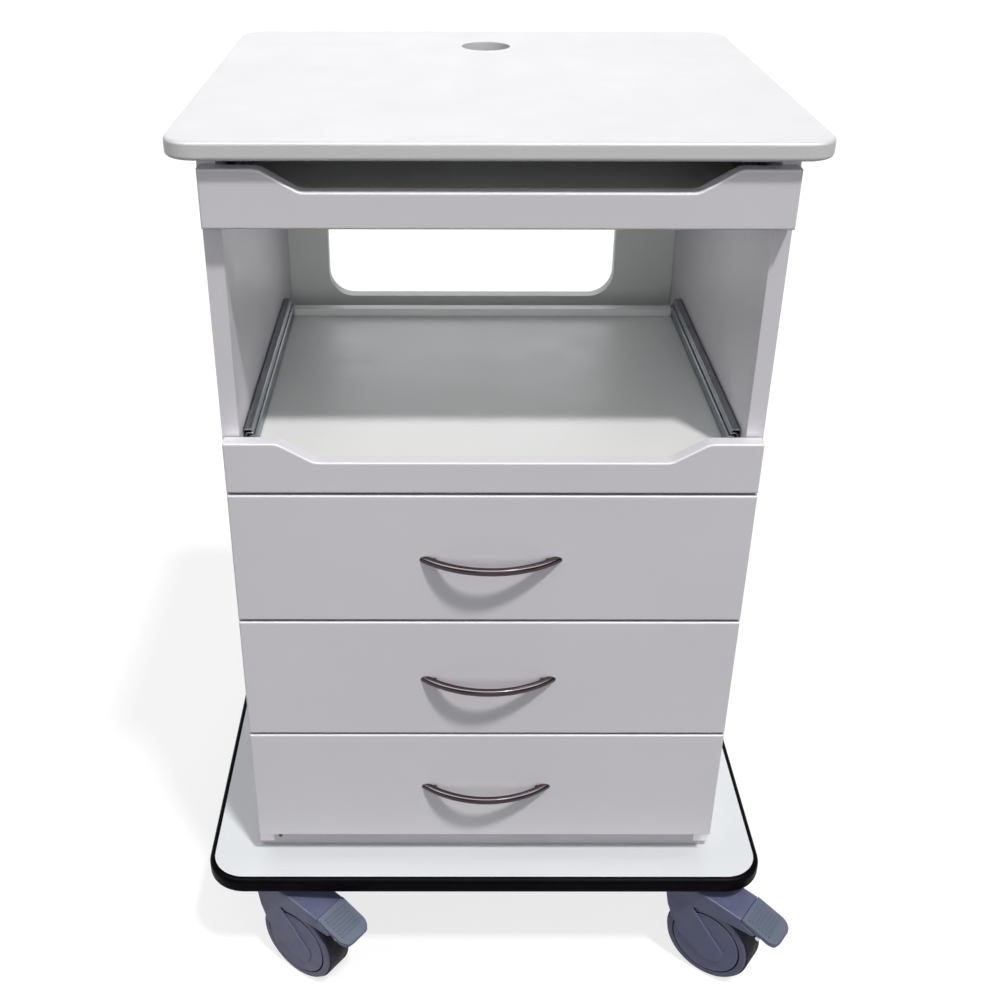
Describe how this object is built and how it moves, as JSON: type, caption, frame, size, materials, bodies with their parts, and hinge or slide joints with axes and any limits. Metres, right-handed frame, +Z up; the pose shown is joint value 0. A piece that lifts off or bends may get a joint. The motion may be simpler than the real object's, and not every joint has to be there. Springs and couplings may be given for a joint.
{
  "type": "instrument cart",
  "caption": "Instrument cart: white laminate cabinet with drawers, two pull-out shelves and an open bay, on a wide base board with braked swivel casters.",
  "frame": {"origin": "on the floor, under the middle of the whole cart's box; the cabinet's centre plane is 14 mm to the left of it because the front right brake pedal stands out on the right", "axes": "+Z up, -Y to the drawer fronts, +X to the right seen from the front"},
  "size_m": [0.644, 0.661, 0.947],
  "materials": {
    "white_laminate": "satin white laminate on board",
    "drawer_white": "matt white melamine",
    "black_moulding": "semi-gloss black edge moulding",
    "slide_steel": "zinc plated",
    "handle_steel": "brushed nickel",
    "zinc_steel": "zinc plated",
    "caster_plastic": "satin moulded grey",
    "pedal": "satin moulded blue-grey",
    "tread": "matt dark thermoplastic rubber"
  },
  "bodies": {
    "cabinet": {"top_board": "white_laminate", "side_panel_left": "white_laminate", "side_panel_right": "white_laminate", "back_panel": "white_laminate", "bottom_panel": "white_laminate", "plinth": "white_laminate", "top_cleats": "white_laminate", "assembly_screws": "zinc_steel", "base_board": "white_laminate", "base_edge_moulding": "black_moulding", "cabinet_slide_members": "slide_steel", "caster_plates": "zinc_steel", "caster_bolts": "zinc_steel"},
    "drawer_1": {"drawer_1_front": "white_laminate", "drawer_1_box": "drawer_white", "drawer_1_handle": "handle_steel", "drawer_1_slide_inner": "slide_steel"},
    "drawer_2": {"drawer_2_front": "white_laminate", "drawer_2_box": "drawer_white", "drawer_2_handle": "handle_steel", "drawer_2_slide_inner": "slide_steel"},
    "drawer_3": {"drawer_3_front": "white_laminate", "drawer_3_box": "drawer_white", "drawer_3_handle": "handle_steel", "drawer_3_slide_inner": "slide_steel"},
    "lower_shelf": {"lower_shelf_front": "white_laminate", "lower_shelf_board": "white_laminate", "lower_shelf_slide_inner": "slide_steel"},
    "upper_shelf": {"upper_shelf_front": "white_laminate", "upper_shelf_board": "white_laminate", "upper_shelf_slide_inner": "slide_steel"},
    "drawer_1_middle_members": {"drawer_1_slide_middle": "slide_steel"},
    "drawer_2_middle_members": {"drawer_2_slide_middle": "slide_steel"},
    "drawer_3_middle_members": {"drawer_3_slide_middle": "slide_steel"},
    "lower_shelf_middle_members": {"lower_shelf_slide_middle": "slide_steel"},
    "upper_shelf_middle_members": {"upper_shelf_slide_middle": "slide_steel"},
    "caster_front_left": {"caster_front_left_fork": "caster_plastic", "caster_front_left_axle": "zinc_steel"},
    "wheel_front_left": {"caster_front_left_wheel_rim": "caster_plastic", "caster_front_left_tyre": "tread"},
    "pedal_front_left": {"caster_front_left_pedal": "pedal", "caster_front_left_brake_cam": "zinc_steel"},
    "caster_front_right": {"caster_front_right_fork": "caster_plastic", "caster_front_right_axle": "zinc_steel"},
    "wheel_front_right": {"caster_front_right_wheel_rim": "caster_plastic", "caster_front_right_tyre": "tread"},
    "pedal_front_right": {"caster_front_right_pedal": "pedal", "caster_front_right_brake_cam": "zinc_steel"},
    "caster_rear_left": {"caster_rear_left_fork": "caster_plastic", "caster_rear_left_axle": "zinc_steel"},
    "wheel_rear_left": {"caster_rear_left_wheel_rim": "caster_plastic", "caster_rear_left_tyre": "tread"},
    "pedal_rear_left": {"caster_rear_left_pedal": "pedal", "caster_rear_left_brake_cam": "zinc_steel"},
    "caster_rear_right": {"caster_rear_right_fork": "caster_plastic", "caster_rear_right_axle": "zinc_steel"},
    "wheel_rear_right": {"caster_rear_right_wheel_rim": "caster_plastic", "caster_rear_right_tyre": "tread"},
    "pedal_rear_right": {"caster_rear_right_pedal": "pedal", "caster_rear_right_brake_cam": "zinc_steel"}
  },
  "joints": [
    {"name": "drawer_1_slide", "type": "slide", "parent": "cabinet", "child": "drawer_1", "axis": [0, -1, 0], "range_m": [0, 0.35]},
    {"name": "drawer_2_slide", "type": "slide", "parent": "cabinet", "child": "drawer_2", "axis": [0, -1, 0], "range_m": [0, 0.35]},
    {"name": "drawer_3_slide", "type": "slide", "parent": "cabinet", "child": "drawer_3", "axis": [0, -1, 0], "range_m": [0, 0.35]},
    {"name": "lower_shelf_slide", "type": "slide", "parent": "cabinet", "child": "lower_shelf", "axis": [0, -1, 0], "range_m": [0, 0.35]},
    {"name": "upper_shelf_slide", "type": "slide", "parent": "cabinet", "child": "upper_shelf", "axis": [0, -1, 0], "range_m": [0, 0.35]},
    {"name": "drawer_1_middle_slide", "type": "slide", "parent": "cabinet", "child": "drawer_1_middle_members", "axis": [0, -1, 0], "range_m": [0, 0.175]},
    {"name": "drawer_2_middle_slide", "type": "slide", "parent": "cabinet", "child": "drawer_2_middle_members", "axis": [0, -1, 0], "range_m": [0, 0.175]},
    {"name": "drawer_3_middle_slide", "type": "slide", "parent": "cabinet", "child": "drawer_3_middle_members", "axis": [0, -1, 0], "range_m": [0, 0.175]},
    {"name": "lower_shelf_middle_slide", "type": "slide", "parent": "cabinet", "child": "lower_shelf_middle_members", "axis": [0, -1, 0], "range_m": [0, 0.175]},
    {"name": "upper_shelf_middle_slide", "type": "slide", "parent": "cabinet", "child": "upper_shelf_middle_members", "axis": [0, -1, 0], "range_m": [0, 0.175]},
    {"name": "caster_front_left_swivel", "type": "hinge", "parent": "cabinet", "child": "caster_front_left", "pos_m": [-0.24698, -0.2475, 0.115], "axis": [0, 0, 1], "continuous": true},
    {"name": "wheel_front_left_spin", "type": "hinge", "parent": "caster_front_left", "child": "wheel_front_left", "pos_m": [-0.21655, -0.27026, 0.0508], "axis": [0.599, 0.8007, 0], "continuous": true},
    {"name": "pedal_front_left_press", "type": "hinge", "parent": "caster_front_left", "child": "pedal_front_left", "pos_m": [-0.17971, -0.29782, 0.1012], "axis": [0.599, 0.8007, 0], "range_deg": [0, 8]},
    {"name": "caster_front_right_swivel", "type": "hinge", "parent": "cabinet", "child": "caster_front_right", "pos_m": [0.21902, -0.2475, 0.115], "axis": [0, 0, 1], "continuous": true},
    {"name": "wheel_front_right_spin", "type": "hinge", "parent": "caster_front_right", "child": "wheel_front_right", "pos_m": [0.24945, -0.27026, 0.0508], "axis": [0.599, 0.8007, 0], "continuous": true},
    {"name": "pedal_front_right_press", "type": "hinge", "parent": "caster_front_right", "child": "pedal_front_right", "pos_m": [0.28629, -0.29782, 0.1012], "axis": [0.599, 0.8007, 0], "range_deg": [0, 8]},
    {"name": "caster_rear_left_swivel", "type": "hinge", "parent": "cabinet", "child": "caster_rear_left", "pos_m": [-0.24698, 0.2475, 0.115], "axis": [0, 0, 1], "continuous": true},
    {"name": "wheel_rear_left_spin", "type": "hinge", "parent": "caster_rear_left", "child": "wheel_rear_left", "pos_m": [-0.21655, 0.27026, 0.0508], "axis": [-0.599, 0.8007, 0], "continuous": true},
    {"name": "pedal_rear_left_press", "type": "hinge", "parent": "caster_rear_left", "child": "pedal_rear_left", "pos_m": [-0.17971, 0.29782, 0.1012], "axis": [-0.599, 0.8007, 0], "range_deg": [0, 8]},
    {"name": "caster_rear_right_swivel", "type": "hinge", "parent": "cabinet", "child": "caster_rear_right", "pos_m": [0.21902, 0.2475, 0.115], "axis": [0, 0, 1], "continuous": true},
    {"name": "wheel_rear_right_spin", "type": "hinge", "parent": "caster_rear_right", "child": "wheel_rear_right", "pos_m": [0.1886, 0.27026, 0.0508], "axis": [-0.599, -0.8007, 0], "continuous": true},
    {"name": "pedal_rear_right_press", "type": "hinge", "parent": "caster_rear_right", "child": "pedal_rear_right", "pos_m": [0.15176, 0.29782, 0.1012], "axis": [-0.599, -0.8007, 0], "range_deg": [0, 8]}
  ],
  "couplings": [
    {"joint": "drawer_1_middle_slide", "follows": "drawer_1_slide", "ratio": 0.5},
    {"joint": "drawer_2_middle_slide", "follows": "drawer_2_slide", "ratio": 0.5},
    {"joint": "drawer_3_middle_slide", "follows": "drawer_3_slide", "ratio": 0.5},
    {"joint": "lower_shelf_middle_slide", "follows": "lower_shelf_slide", "ratio": 0.5},
    {"joint": "upper_shelf_middle_slide", "follows": "upper_shelf_slide", "ratio": 0.5}
  ]
}
